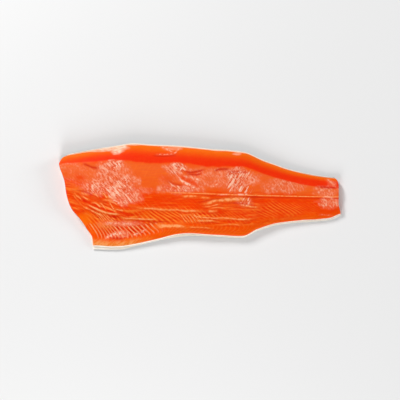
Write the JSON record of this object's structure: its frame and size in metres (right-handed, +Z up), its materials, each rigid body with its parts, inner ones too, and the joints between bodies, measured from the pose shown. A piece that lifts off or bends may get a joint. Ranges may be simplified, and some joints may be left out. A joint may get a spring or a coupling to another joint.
{
  "type": "raw salmon fillet",
  "caption": "Long raw salmon fillet with its skin on, lying skin down: orange-red flaked flesh, thick loin, thin belly flap with rib furrows, pale fat edge.",
  "frame": {"origin": "under the middle of the fillet's bounding box, on the surface it lies on", "axes": "+X along the fillet towards the tail cut, +Y towards the back of the fish, +Z up out of the flesh side"},
  "size_m": [0.43, 0.162, 0.0246],
  "materials": {
    "flesh": "moist raw flesh, slightly see-through",
    "skin": "wet silver fish skin with fine scales"
  },
  "bodies": {
    "root": {"salmon_fillet": "flesh"}
  },
  "joints": []
}
